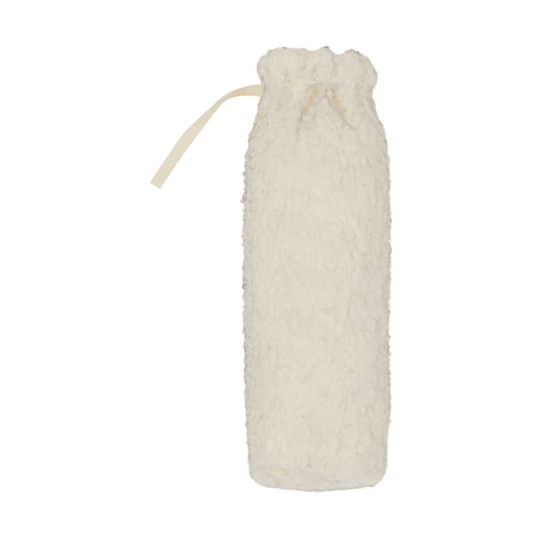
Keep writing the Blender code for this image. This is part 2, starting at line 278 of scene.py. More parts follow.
# ---- Fleece panels ----
# Two panels of teddy fleece: a knitted backing that shows inside, and outside it the body of the curly pile.
# Each keeps its solid's form, a little sunk and softly lumpy, drawn in along the neck's and frill's gathers.
VOXEL = 1.25 * MM
MERGE_GAP = 0.01 * MM
CLOTH_SIDE_FACING = -0.2  # faces that look inward by more than this are the plain cloth side's
CLOTH_SIDE_CUT = 0.8  # of the plain cloth side's faces that are taken out again
AXIS_HEIGHT = 40.0 * MM
AXIS_FROM, AXIS_TO = -110.0 * MM, 150.0 * MM  # the cover's middle line, without its rounded ends
PILE_SINK = 1.0 * MM  # the pile's body lies this far under the curls' backs
SIDE_SINK, SEAM_RISE = 1.0, 2.8  # shares of that: how much deeper on the sides, and higher at the seam
LUMP_SIZE, LUMP_HEIGHT = 6.5 * MM, 0.9 * MM
LUMP_BILLOW, LUMP_DROP = 2.2, 0.45
LUMP_STRETCH = 0.6  # lumps and partings are longer along the cover than across it
LUMP_SEED = 8  # noise_vector follows this seed, and the clock where none is set
WARP_SIZE, WARP_REACH = 5.0 * MM, 2.0 * MM  # what bends the lumps out of line
SIDE_LUMPS, SIDE_LUMP_SPREAD = 1.1, 1.15  # added height and greater size of the lumps on the sides
TUFT_SIZE, TUFT_HEIGHT = 2.6 * MM, 0.3 * MM
PEAK_SIZE, PEAK_HEIGHT = 2.7 * MM, 5.6 * MM  # small tufts that stand out along the rims
PEAK_SHARPNESS = 1.6
PEAK_ON_SIDES, PEAK_AT_RIM = 0.45, 0.55
PRESSED, PRESSED_HEIGHTS = 0.3, (1.0 * MM, 9.0 * MM)  # the relief left where the cover rests on the floor
SEAM_REACH = 3.0 * MM  # the pile closes over the seam between the panels from this far
SEAM_CLOSE = 0.58  # each panel comes this share of the gap, so that the two just overlap
# How squarely the surface faces outward, sideways or to the mouth where each of these starts and is whole.
PILE_FACING = (-0.15, 0.3)
SIDE_FACING = (0.45, 0.9)
MOUTH_SHARE, BOTTOM_SHARE = 0.8, 0.55  # how much the two ends count as sides
RIM_FACING = (0.965, 0.996)
RIM_BELOW_NECK = (-122 * MM, -108 * MM)  # along -Y, where the rims start
HEM_FACING = (0.78, 0.95)

# Gathers and creases in the front, in mm: three points in plan, the depth at both ends and the half width.
CREASES = [
    (-1.5, 134.5, -5.5, 127.0, -11.5, 118.0, 2.3, 1.7, 1.9),  # left gather
    (-11.5, 118.0, -14.4, 108.0, -15.2, 99.0, 2.0, 1.5, 1.6),
    (-15.2, 99.0, -19.0, 91.0, -21.0, 79.0, 1.2, 0.6, 1.4),  # where it fades out
    (11.5, 135.5, 15.5, 128.5, 19.5, 120.5, 2.1, 2.3, 1.8),  # right gather
    (19.5, 120.5, 20.8, 113.0, 20.0, 101.0, 2.1, 0.6, 1.7),
    (-29.5, 130.0, -29.8, 126.0, -29.5, 121.5, 1.6, 1.3, 1.6),  # dimple
    (-42.0, 119.0, -43.8, 110.0, -44.8, 99.0, 1.3, 0.7, 1.9),  # beside the left seam
    (-6.3, 166.0, -8.5, 157.0, -12.0, 150.0, 1.0, 1.7, 1.4),  # frill
    (-1.5, 153.5, -2.5, 148.0, -2.5, 143.5, 1.3, 1.8, 1.4),
    (-18.0, 143.5, -14.0, 144.6, -10.0, 146.0, 0.9, 0.9, 1.3),
    (16.4, 167.0, 17.5, 158.0, 16.0, 149.0, 1.1, 0.4, 1.7),
    (-33.0, 150.0, -33.5, 144.0, -32.0, 139.0, 0.6, 1.2, 1.8),
    (33.0, 151.0, 32.0, 144.0, 31.0, 138.0, 0.6, 1.2, 1.8),
]
# The same in reverse, where the frill and the drawn-in neck stand fuller.
PUFFS = [
    (-9.0, 170.0, -9.5, 160.0, -12.0, 152.0, 2.6, 1.6, 4.0),
    (-4.5, 136.2, 3.2, 133.4, 11.5, 135.6, 2.2, 2.6, 4.8),
    (3.0, 130.5, 5.2, 128.6, 8.2, 130.5, 2.2, 2.2, 3.8),
    (-8.0, 142.3, 3.5, 142.5, 14.0, 142.0, 1.8, 1.8, 3.6),
    (45.5, 152.0, 46.5, 147.0, 46.0, 142.0, 0.6, 2.2, 3.4),
]
CREASE_STEP = 1.2  # mm between the places that draw a crease in
CREASE_SWAY, CREASE_SWAY_SIZE = 1.6, 4.0  # mm sideways, and mm along the cover
CREASE_UNEVEN, CREASE_UNEVEN_SIZE = 0.8, 3.0  # share of the depth, and mm along the cover
GATHER_DEPTHS = (0.35 * MM, 1.7 * MM)  # from where a gather starts to show painted warm shade, to where it shows it fully
PARTING_GAP = 8.0 * MM  # between the fine broken lines where the pile parts
PARTING_DEPTH, PARTING_WIDTH = 0.9 * MM, 0.16
PARTING_BREAKS, PARTING_BREAK_SIZE, PARTING_UNBROKEN = 1.8, 0.7, 0.45
PARTING_SHIFT, PEAK_SHIFT = Vector((7.3, 1.9, 4.1)), Vector((3.1, 8.4, 5.2))  # other places in the same noise
# how much painted warm shade the partings take at their deepest
PARTING_SHADE_SHARE = 0.35
SIDE_PARTING_LOSS = 0.6
LEVEL_MIDDLE, LEVEL_SPAN = 0.6, 3 * MM  # the body's relief as the level of its painted shade: darker in the hollows, lighter on the lumps
MOTTLE_SCALE, MOTTLE_CONTRAST, MOTTLE_START = 28.0, 4.0, -1.5
TINT_SHARE = 0.25  # each lock's own tint in the pile's unevenness, beside the mottling
# painted shade and light: darker and warm where the pile lies low, lighter where it stands highest
PILE_SHADED_LOW = (0.875, 0.807, 0.672, 1)
PILE_TIP = (0.895, 0.842, 0.722, 1)
PILE_LIT_HIGH = (0.93, 0.89, 0.79, 1)
PILE_COOL = (0.95, 0.958, 0.985, 1)
# painted warm shade in the gathers and partings
GATHER_SHADE_COLOUR = (0.89, 0.83, 0.735, 1)
KNIT_CREAM = (0.78, 0.73, 0.62, 1)
KNIT_SHADE = (0.62, 0.56, 0.45, 1)
KNIT_PITCH = 1.4 * MM
KNIT_RADIUS = 45.0 * MM  # turns the angle round the cover into metres for the rows of stitches


def smooth_step(values, low, high):
    """From 0 at the low value to 1 at the high one, with a soft start and end."""
    t = np.clip((values - low) / (high - low), 0.0, 1.0)
    return t * t * (3 - 2 * t)


def bend(first, middle, last, t):
    """Points on the bend through three values, t running from 0 to 1."""
    return first * (1 - t) * (1 - 2 * t) + middle * 4 * t * (1 - t) + last * t * (2 * t - 1)


def crease_depth(points, rows):
    """How far the rows' creases draw the front in at these points, in metres."""
    deepest = np.zeros(len(points))
    plan = points[:, :2] / MM
    for x1, y1, x2, y2, x3, y3, depth1, depth3, half_width in rows:
        t = np.linspace(0.0, 1.0, int(abs(y3 - y1) / CREASE_STEP) + 6)
        xs, ys, depths = bend(x1, x2, x3, t), bend(y1, y2, y3, t), depth1 + (depth3 - depth1) * t
        xs += [CREASE_SWAY * noise.noise(Vector((x1, y / CREASE_SWAY_SIZE, 0.0))) for y in ys]
        depths *= [1.0 + CREASE_UNEVEN * noise.noise(Vector((x3, y / CREASE_UNEVEN_SIZE, 9.0))) for y in ys]
        reach = 3 * half_width
        near = (plan[:, 0] > xs.min() - reach) & (plan[:, 0] < xs.max() + reach)
        near &= (plan[:, 1] > ys.min() - reach) & (plan[:, 1] < ys.max() + reach)
        near &= points[:, 2] > AXIS_HEIGHT
        spots = plan[near]
        drawn = np.zeros(len(spots))
        for x, y, depth in zip(xs, ys, depths):
            away = (spots[:, 0] - x) ** 2 + (spots[:, 1] - y) ** 2
            drawn = np.maximum(drawn, depth * MM * np.exp(-away / half_width**2))
        deepest[near] = np.maximum(deepest[near], drawn)
    return deepest


def parting_depth(points):
    """How deep the pile parts at these points, in metres: fine broken lines that wander along the cover."""
    depths = np.empty(len(points))
    for i, (x, y, z) in enumerate(points):
        place = Vector((x, y * LUMP_STRETCH, z)) / PARTING_GAP
        line = noise.noise(place)
        broken = PARTING_UNBROKEN + PARTING_BREAKS * noise.noise(place * PARTING_BREAK_SIZE + PARTING_SHIFT)
        depths[i] = PARTING_DEPTH * exp(-((line / PARTING_WIDTH) ** 2)) * min(1.0, max(0.0, broken))
    return depths


def gather_shade_share(depth):
    """How much painted warm shade the pile shows at this depth of a gather, from 0 to 1."""
    return smooth_step(depth, *GATHER_DEPTHS)


def away_from_axis(points):
    """Unit vectors from the cover's middle line to these points."""
    axis = np.stack(
        [np.zeros(len(points)), np.clip(points[:, 1], AXIS_FROM, AXIS_TO), np.full(len(points), AXIS_HEIGHT)],
        axis=1,
    )
    out = points - axis
    return out / np.linalg.norm(out, axis=1)[:, None]


def on_the_side(normals):
    """From 0 on the cover's top and underside, where the pile lies flat, to 1 on its sides."""
    ends = np.maximum(MOUTH_SHARE * normals[:, 1], -BOTTOM_SHARE * normals[:, 1])
    return smooth_step(np.hypot(normals[:, 0], ends), *SIDE_FACING)


def at_the_rim(points, normals):
    """From 0 to 1 along the cover's widest lines, below the neck, and at the mouth's hem."""
    sides = smooth_step(np.abs(away_from_axis(points)[:, 0]), *RIM_FACING)
    below_neck = smooth_step(-points[:, 1], *RIM_BELOW_NECK)
    return np.maximum(sides * below_neck, smooth_step(normals[:, 1], *HEM_FACING))


def read_points(mesh):
    """A mesh's points and normals as arrays."""
    points = np.empty(len(mesh.vertices) * 3, np.float32)
    normals = np.empty(len(mesh.vertices) * 3, np.float32)
    mesh.vertices.foreach_get("co", points)
    mesh.vertex_normals.foreach_get("vector", normals)
    return points.reshape(-1, 3).astype(float), normals.reshape(-1, 3).astype(float)


def apply_modifier(thing, modifier):
    """Bakes one modifier into the object's own mesh."""
    with bpy.context.temp_override(object=thing, active_object=thing, selected_objects=[thing]):
        bpy.ops.object.modifier_apply(modifier=modifier.name)


def remeshed_panel(node, name):
    """A copy of a panel's solid with fine even faces on its pile side and coarse ones on its cloth side."""
    bm = bmesh.new()
    bm.from_mesh(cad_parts[node].data)
    bmesh.ops.remove_doubles(bm, verts=bm.verts, dist=MERGE_GAP)
    mesh = bpy.data.meshes.new(name)
    bm.to_mesh(mesh)
    bm.free()
    made = bpy.data.objects.new(name, mesh)
    bpy.context.scene.collection.objects.link(made)
    bpy.context.view_layer.objects.active = made
    remesh = made.modifiers.new("even_faces", "REMESH")
    remesh.mode = "VOXEL"
    remesh.voxel_size = VOXEL
    apply_modifier(made, remesh)
    points, normals = read_points(made.data)
    cloth_side = made.vertex_groups.new(name="cloth_side")
    inward = (normals * away_from_axis(points)).sum(1) < CLOTH_SIDE_FACING
    cloth_side.add([int(i) for i in np.nonzero(inward)[0]], 1.0, "REPLACE")
    coarser = made.modifiers.new("coarse_cloth_side", "DECIMATE")
    coarser.ratio = 1 - CLOTH_SIDE_CUT * float(inward.mean())
    coarser.vertex_group = cloth_side.name
    apply_modifier(made, coarser)
    made.vertex_groups.remove(made.vertex_groups["cloth_side"])
    return made


def add_attribute(mesh, name, values):
    """Keeps one number for each of the mesh's points under a name that its material reads."""
    made = mesh.attributes.new(name, "FLOAT", "POINT")
    made.data.foreach_set("value", np.asarray(values, np.float32))


def surface_of(meshes):
    """One surface that points can be dropped onto, from all these meshes."""
    joined = bmesh.new()
    for mesh in meshes:
        joined.from_mesh(mesh)
    surface = BVHTree.FromBMesh(joined)
    joined.free()
    return surface


def seam_pulls(points, other):
    """Moves that bring a panel's edge up to the other panel's, and how near each point is to that seam."""
    edge = surface_of([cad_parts[other].data])
    pulls, near = np.zeros_like(points), np.zeros(len(points))
    for i, point in enumerate(points):
        place, _, _, gap = edge.find_nearest(point, SEAM_REACH)
        if place is not None:
            near[i] = 1 - gap / SEAM_REACH
            pulls[i] = (np.array(place) - point) * SEAM_CLOSE * max(0.0, 1 - gap / (0.5 * SEAM_REACH))
    return pulls, near


def shape_body(panel, other):
    """Sinks and ruffles the panel's pile side, closes the seams and draws the gathers in."""
    noise.seed_set(LUMP_SEED)
    points, normals = read_points(panel.data)
    pulls, near_seam = seam_pulls(points, other)
    out = away_from_axis(points)
    outward = (normals * out).sum(1)
    pile = smooth_step(outward, *PILE_FACING)
    lumps = np.zeros(len(points))
    beside = SIDE_LUMPS * on_the_side(normals)
    rim = PEAK_ON_SIDES * on_the_side(normals) + PEAK_AT_RIM * at_the_rim(points, normals)
    for i in np.nonzero(pile > 0.01)[0]:
        x, y, z = points[i]
        place = Vector((x, y * LUMP_STRETCH, z))
        warp = noise.noise_vector(place / WARP_SIZE) * WARP_REACH
        billow = LUMP_BILLOW * abs(noise.noise((place + 0.5 * warp) / LUMP_SIZE)) - LUMP_DROP
        lumps[i] = LUMP_HEIGHT * billow
        lumps[i] += LUMP_HEIGHT * beside[i] * noise.noise(place / LUMP_SIZE / SIDE_LUMP_SPREAD)
        lumps[i] += TUFT_HEIGHT * noise.noise((place + warp) / TUFT_SIZE)
        peak = max(0.0, noise.noise(Vector((x, y, z)) / PEAK_SIZE + PEAK_SHIFT))
        lumps[i] += PEAK_HEIGHT * rim[i] * peak**PEAK_SHARPNESS
    resting = PRESSED + (1 - PRESSED) * smooth_step(points[:, 2], *PRESSED_HEIGHTS)
    gather = crease_depth(points, CREASES) * (outward > 0)
    puff = crease_depth(points, PUFFS) * (outward > 0)
    parting = parting_depth(points) * pile * resting * (1 - SIDE_PARTING_LOSS * on_the_side(normals))
    lumps -= PILE_SINK * (1 + SIDE_SINK * on_the_side(normals) - SEAM_RISE * near_seam)
    moved = points + pulls + normals * (lumps * pile * resting)[:, None]
    moved = moved + out * (puff - gather - parting)[:, None]
    panel.data.vertices.foreach_set("co", moved.astype(np.float32).ravel())
    panel.data.update()
    panel.data.shade_smooth()
    # painted warm shade in the gathers and partings, by their depth
    crease_and_parting_shade = np.maximum(gather_shade_share(gather), PARTING_SHADE_SHARE * parting / PARTING_DEPTH)
    angle = np.arctan2(points[:, 2] - AXIS_HEIGHT, points[:, 0])
    add_attribute(panel.data, "pile_shade_level", (LEVEL_MIDDLE + lumps / LEVEL_SPAN) * pile)
    add_attribute(panel.data, "pile_side", pile)
    add_attribute(panel.data, "gather", crease_and_parting_shade)
    add_attribute(panel.data, "round_metres", angle * KNIT_RADIUS)


def mix_colour(tree, place, blend, factor, first, second):
    """A colour Mix node, whose sockets 0, 6 and 7 take its factor and two colours, linked or plain."""
    made = tree.nodes.new("ShaderNodeMix")
    made.data_type = "RGBA"
    made.blend_type = blend
    made.location = (place[0] * NODE_GRID[0], place[1] * NODE_GRID[1])
    for number, value in ((0, factor), (6, first), (7, second)):
        if isinstance(value, bpy.types.NodeSocket):
            tree.links.new(value, made.inputs[number])
        else:
            made.inputs[number].default_value = value
    return made.outputs[2]


def read_attribute(tree, place, name):
    """A node that reads the number that add_attribute kept under this name."""
    made = tree.nodes.new("ShaderNodeAttribute")
    made.attribute_name = name
    made.location = (place[0] * NODE_GRID[0], place[1] * NODE_GRID[1])
    return made.outputs["Fac"]


def fleece_colour_group():
    """The pile's colour, for its body, curls and loose fibres: cream, with painted shade, darker and warm
    where the pile lies low and in the gathers and partings, and lighter where it stands highest.
    """
    group = bpy.data.node_groups.new("teddy_pile_colour", "ShaderNodeTree")
    for name, kind in (
        ("Level", "NodeSocketFloat"),
        ("Tint", "NodeSocketFloat"),
        ("Gather", "NodeSocketFloat"),
        ("Place", "NodeSocketVector"),
    ):
        group.interface.new_socket(name=name, in_out="INPUT", socket_type=kind)
    group.interface.new_socket(name="Colour", in_out="OUTPUT", socket_type="NodeSocketColor")
    get = group.nodes.new("NodeGroupInput")
    put = group.nodes.new("NodeGroupOutput")
    ramp = group.nodes.new("ShaderNodeValToRGB")
    ramp.color_ramp.elements[0].position = 0.0
    ramp.color_ramp.elements[0].color = PILE_SHADED_LOW
    ramp.color_ramp.elements[1].position = 0.8
    ramp.color_ramp.elements[1].color = PILE_TIP
    ramp.color_ramp.elements.new(1.0).color = PILE_LIT_HIGH
    group.links.new(get.outputs["Level"], ramp.inputs[0])
    mottle = noise_texture(group, get.outputs["Place"], MOTTLE_SCALE)
    patchy = math_node(group, "MULTIPLY_ADD", (1, 2), mottle.outputs[0], MOTTLE_CONTRAST)
    patchy.node.inputs[2].default_value = MOTTLE_START
    patchy.node.use_clamp = True
    each = math_node(group, "MULTIPLY", (1, 3), get.outputs["Tint"], TINT_SHARE)
    uneven = math_node(group, "MULTIPLY_ADD", (2, 2), patchy, 1 - TINT_SHARE)
    group.links.new(each, uneven.node.inputs[2])
    cooler = mix_colour(group, (3, 1), "MULTIPLY", uneven, ramp.outputs[0], PILE_COOL)
    crease_shaded = mix_colour(group, (4, 1), "MULTIPLY", get.outputs["Gather"], cooler, GATHER_SHADE_COLOUR)
    group.links.new(crease_shaded, put.inputs["Colour"])
    return group


def pile_body_material(colours):
    """The pile's body outside, and inside the cover the knitted backing with its rows of small stitches."""
    made, tree, shader = new_material("teddy_fleece_body", 1.0, 0.4, 0.55)
    use = tree.nodes.new("ShaderNodeGroup")
    use.node_tree = colours
    place = tree.nodes.new("ShaderNodeTexCoord")
    tree.links.new(read_attribute(tree, (-4, 0), "pile_shade_level"), use.inputs["Level"])
    tree.links.new(read_attribute(tree, (-4, 1), "gather"), use.inputs["Gather"])
    tree.links.new(place.outputs["Object"], use.inputs["Place"])
    split = tree.nodes.new("ShaderNodeSeparateXYZ")
    tree.links.new(place.outputs["Object"], split.inputs[0])
    rows = math_node(tree, "DIVIDE", (-4, 3), split.outputs[1], KNIT_PITCH)
    stitch = math_node(tree, "PINGPONG", (-3, 3), rows, 0.5)
    columns = math_node(tree, "DIVIDE", (-4, 4), read_attribute(tree, (-5, 4), "round_metres"), KNIT_PITCH)
    leaning = math_node(tree, "ADD", (-2, 4), columns, stitch)
    wave = math_node(tree, "SINE", (-1, 4), math_node(tree, "MULTIPLY", (-2, 5), leaning, 2 * pi))
    knit = math_node(tree, "MULTIPLY_ADD", (0, 4), wave, 0.5)
    knit.node.inputs[2].default_value = 0.5
    backing = mix_colour(tree, (1, 3), "MIX", knit, KNIT_SHADE, KNIT_CREAM)
    side = read_attribute(tree, (1, 5), "pile_side")
    colour = mix_colour(tree, (2, 2), "MIX", side, backing, use.outputs["Colour"])
    tree.links.new(colour, shader.inputs["Base Color"])
    fluff = noise_texture(tree, place.outputs["Object"], 1500.0)
    height = tree.nodes.new("ShaderNodeMix")
    tree.links.new(side, height.inputs[0])
    tree.links.new(knit, height.inputs[2])
    tree.links.new(fluff.outputs[0], height.inputs[3])
    add_bump(tree, shader, height.outputs[0], 0.4, 0.3 * MM)
    return made


pile_colours = fleece_colour_group()
body_material = pile_body_material(pile_colours)
panels = {}
for node, other, name in (
    ("front_panel", "back_panel", "front_fleece_cloth"),
    ("back_panel", "front_panel", "back_fleece_cloth"),
):
    panel = remeshed_panel(node, name)
    shape_body(panel, other)
    panel.data.materials.append(body_material)
    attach(panel, "root")
    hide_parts(node)
    panels[node] = panel

# ---- Curls ----
# The pile itself: short curved locks of fibre that overlap all over the panels, most of them combed along the
# cover. Each starts and ends in the body and arches a little out of it, and some flick their tips out.
LOCK_SEEDS = {"front_panel": 21, "back_panel": 22}
LOCK_SPACING = 2.4 * MM
LOCK_STRETCH = 1.5  # locks lie further apart along the cover than across it
GAP_SPREAD = (0.75, 1.25)  # the gap round each root, as a share of the spacing
START_SPREAD = 0.4  # of a voxel, so that the roots keep to no rows
LOCK_JITTER = 0.5 * MM
LOCK_LENGTH = (7.0 * MM, 13.0 * MM)
LOCK_WIDTH = (1.5 * MM, 2.7 * MM)
LOCK_FLATTEN = 0.42
LOCK_RINGS, LOCK_SIDES = 6, 4
LOCKS_A_PIECE = 4000
# One number for each ring of a lock: its height over the body, what a flicked tip adds, and its breadth.
LOCK_ARCH = np.array([-0.6, -0.08, 0.14, 0.16, -0.05, -0.6]) * MM
LOCK_FLICK = np.array([0.0, 0.0, 0.1, 0.6, 1.5, 2.5])
LOCK_TAPER = np.array([0.25, 0.85, 1.03, 1.03, 0.8, 0.2])
LIFT_SPREAD = 0.12 * MM
FLICKED_SHARE, RIM_FLICKED_SHARE = 0.03, 0.35
FLICK_OFF_RIM = 0.3  # how far a tip flicks away from the rims, as a share of its flick there
FLICK_SPREAD = (0.5, 1.2)
BROAD_SHARE, BROAD_STRETCH = 0.22, 1.25
BROAD_EXTRA = (0.6 * MM, 1.5 * MM)
BROAD_SINK = 0.22  # a broad lock lies deeper by this share of its extra width
SIDE_LOCK_SINK, BOTTOM_LOCK_SINK = 0.22 * MM, 0.28 * MM
BOTTOM_FACING = (0.45, 0.8)
SEAM_EXTRA = 1  # more locks at each place along the seam, laid across it
SEAM_LIFT, TAPE_LIFT = 0.15 * MM, 0.7 * MM
DROP_FROM, DROP_REACH = 5.0 * MM, 8.0 * MM  # over the body, and how far down it is looked for
SWAY, SWAY_SIZE = radians(75), 17 * MM  # how far the comb wanders from the cover's length, and how often
HEADING_SPREAD = radians(30)
CROSSING_TURN = radians(65)
LOCK_TURN = radians(95)  # from a lock's root to its tip
LOCK_WAVE, LOCK_WAVES = radians(38), 1.2  # how far it waves, and how many times
OUTWARD = 0.05  # curls and wisps grow where the surface looks outward by more than this
FLOOR_ROOM = 1.5 * MM  # locks under the cover are pressed together below this height, and stay over the floor
LOCK_MAP_STEP = 7.31  # between the places of two locks in their map, so that no two show the same fibres
LOCK_LEVEL, LOCK_LEVEL_RISE = 0.75, 0.3  # a lock's level of painted shade, lighter the higher it lifts, and what each LEVEL_LIFT adds to it
LEVEL_LIFT = 1.2 * MM
FIBRE_STRETCH = (26.0, 0.8, 1.0)  # the fibres' pattern across and along a lock
BETWEEN_FIBRES = (0.96, 0.95, 0.93, 1)


def scatter(points, spacing, stretch, draw):
    """The numbers of some of these points, none nearer to another than the spacing."""
    squeeze = np.array([1.0, 1.0 / stretch, 1.0])
    spots = points * squeeze
    tree = kdtree.KDTree(len(spots))
    for i, spot in enumerate(spots):
        tree.insert(spot, i)
    tree.balance()
    free = np.ones(len(spots), bool)
    chosen = []
    for i in draw.permutation(len(spots)):
        if free[i]:
            chosen.append(i)
            gap = spacing * draw.uniform(*GAP_SPREAD)
            for _, other, _ in tree.find_range(spots[i], gap):
                free[other] = False
    return np.array(chosen)


def combed(normals):
    """Directions along the cover on the surface, and across it."""
    comb = np.array([0.0, -1.0, 0.0]) + normals * normals[:, 1:2]
    comb += np.array([0.0, 0.0, 0.05])
    comb /= np.linalg.norm(comb, axis=1, keepdims=True)
    return comb, np.cross(normals, comb)


def lock_paths(roots, normals, rings, lengths, turn, crossing, draw):
    """Curved paths through the roots, in the surface's plane: mostly along the cover, or across a seam."""
    comb, beside = combed(normals)
    sway = np.array([noise.noise(Vector(root) / SWAY_SIZE) for root in roots]) * SWAY
    sway += draw.normal(0.0, HEADING_SPREAD, len(roots))
    sway += crossing * CROSSING_TURN * np.sign(draw.random(len(roots)) - 0.5)
    curve = draw.normal(0.0, turn, len(roots))
    s = np.linspace(-0.5, 0.5, rings)
    heading = sway[:, None] + curve[:, None] * s[None, :]
    start = draw.uniform(0, 2 * pi, len(roots))
    heading += LOCK_WAVE * np.sin(2 * pi * LOCK_WAVES * s[None, :] + start[:, None])
    step = lengths[:, None] / (rings - 1)
    x = np.cumsum(np.cos(heading) * step, axis=1)
    y = np.cumsum(np.sin(heading) * step, axis=1)
    x -= x[:, rings // 2][:, None]
    y -= y[:, rings // 2][:, None]
    return roots[:, None, :] + comb[:, None, :] * x[:, :, None] + beside[:, None, :] * y[:, :, None]


def onto_body(paths, surface):
    """Drops the paths' points onto the body, towards the cover's middle line, and finds its normals there."""
    flat = paths.reshape(-1, 3)
    inward = -away_from_axis(flat)
    starts = flat - inward * DROP_FROM
    places, normals = np.empty_like(flat), np.empty_like(flat)
    for i in range(len(flat)):
        place, normal, _, _ = surface.ray_cast(starts[i], inward[i], DROP_REACH)
        if place is None:
            place, normal, _, _ = surface.find_nearest(flat[i])
        places[i] = place
        normals[i] = normal
    return places.reshape(paths.shape), normals.reshape(paths.shape)


def lock_lifts(roots, normals, widths, crossing, draw):
    """How high each ring of each lock stands over the body: arched, and with the tip flicked out on some."""
    count = len(roots)
    rim = at_the_rim(roots, normals)
    flicked = draw.random(count) < FLICKED_SHARE + RIM_FLICKED_SHARE * rim
    flick = flicked[:, None] * LOCK_FLICK * MM
    flick *= (FLICK_OFF_RIM + (1 - FLICK_OFF_RIM) * rim)[:, None]
    lift = LOCK_ARCH[None, :] + flick * draw.uniform(*FLICK_SPREAD, count)[:, None]
    lift += draw.normal(0.0, LIFT_SPREAD, count)[:, None] + crossing[:, None] * SEAM_LIFT
    over_tape = np.linalg.norm(roots - TAPE_EXIT, axis=1) < TAPE_WIDTH
    lift += (crossing & over_tape)[:, None] * TAPE_LIFT
    lift -= ((widths - LOCK_WIDTH[1]).clip(0.0) * BROAD_SINK)[:, None]
    lift -= SIDE_LOCK_SINK * on_the_side(normals)[:, None]
    return lift - BOTTOM_LOCK_SINK * smooth_step(-normals[:, 1], *BOTTOM_FACING)[:, None]


def lock_mesh(name, centres, normals, widths, flatten, levels, material):
    """One joined mesh of closed locks: flattened rings round each path, with its own map round and along."""
    count, rings, _ = centres.shape
    sides = LOCK_SIDES
    along = np.gradient(centres, axis=1)
    along /= np.linalg.norm(along, axis=2, keepdims=True)
    side = np.cross(normals, along)
    side /= np.linalg.norm(side, axis=2, keepdims=True)
    up = np.cross(along, side)
    angles = np.arange(sides) * 2 * pi / sides
    ring = (
        np.cos(angles)[None, None, :, None] * side[:, :, None, :]
        + np.sin(angles)[None, None, :, None] * up[:, :, None, :] * flatten
    )
    points = centres[:, :, None, :] + ring * (widths / 2)[:, :, None, None]
    heights = points[..., 2]
    points[..., 2] = np.where(heights > FLOOR_ROOM, heights, FLOOR_ROOM * np.exp(heights / FLOOR_ROOM - 1))
    quads, quad_uvs = [], []
    for r in range(rings - 1):
        for s in range(sides):
            n = (s + 1) % sides
            a, b = r * sides, (r + 1) * sides
            quads.append((a + s, a + n, b + n, b + s))
            quad_uvs.append(((s, r), (s + 1, r), (s + 1, r + 1), (s, r + 1)))
    end = (rings - 1) * sides
    # the flat ends, which close a lock of four sides
    quads.append((3, 2, 1, 0))
    quads.append((end, end + 1, end + 2, end + 3))
    quad_uvs += [((0, 0),) * 4, ((0, rings - 1),) * 4]
    faces = (np.array(quads)[None] + (np.arange(count) * rings * sides)[:, None, None]).reshape(-1, 4)
    mesh = bpy.data.meshes.new(name)
    mesh.vertices.add(points.size // 3)
    mesh.vertices.foreach_set("co", points.astype(np.float32).ravel())
    mesh.loops.add(faces.size)
    mesh.loops.foreach_set("vertex_index", faces.astype(np.int32).ravel())
    mesh.polygons.add(len(faces))
    mesh.polygons.foreach_set("loop_start", (np.arange(len(faces)) * 4).astype(np.int32))
    mesh.update(calc_edges=True)
    mesh.validate()
    mesh.shade_smooth()
    ends = np.empty(len(mesh.edges) * 2, np.int32)
    mesh.edges.foreach_get("vertices", ends)
    ends = ends.reshape(-1, 2) % sides
    rim = mesh.attributes.new("sharp_edge", "BOOLEAN", "EDGE")
    rim.data.foreach_set("value", (ends[:, 0] == ends[:, 1]) & (ends[:, 0] % 2 == 0))
    uvs = np.array(quad_uvs, float)[None] * (1 / sides, 1.0)
    uvs = uvs + (np.arange(count) * LOCK_MAP_STEP)[:, None, None, None]
    mesh.uv_layers.new(name="lock").data.foreach_set("uv", uvs.astype(np.float32).ravel())
    for label, values in levels.items():
        add_attribute(mesh, label, np.repeat(values.ravel(), sides))
    mesh.materials.append(material)
    made = bpy.data.objects.new(name, mesh)
    bpy.context.scene.collection.objects.link(made)
    return made


def lock_material(colours):
    """Curls of fine fibre: the pile's colour, with the fibres running along each lock."""
    made, tree, shader = new_material("teddy_fleece_curls", 1.0, 0.4, 0.55)
    use = tree.nodes.new("ShaderNodeGroup")
    use.node_tree = colours
    place = tree.nodes.new("ShaderNodeTexCoord")
    tree.links.new(read_attribute(tree, (-4, 0), "pile_shade_level"), use.inputs["Level"])
    tree.links.new(read_attribute(tree, (-4, 1), "tint"), use.inputs["Tint"])
    tree.links.new(read_attribute(tree, (-4, 2), "gather"), use.inputs["Gather"])
    tree.links.new(place.outputs["Object"], use.inputs["Place"])
    uv = tree.nodes.new("ShaderNodeUVMap")
    uv.uv_map = "lock"
    stretch = tree.nodes.new("ShaderNodeMapping")
    stretch.inputs["Scale"].default_value = FIBRE_STRETCH
    tree.links.new(uv.outputs["UV"], stretch.inputs["Vector"])
    fibres = noise_texture(tree, stretch.outputs[0], 1.0)
    fibres.inputs["Distortion"].default_value = 0.6
    streaked = mix_colour(tree, (1, 0), "MULTIPLY", fibres.outputs[0], use.outputs["Colour"], BETWEEN_FIBRES)
    tree.links.new(streaked, shader.inputs["Base Color"])
    add_bump(tree, shader, fibres.outputs[0], 0.4, 0.15 * MM)
    return made


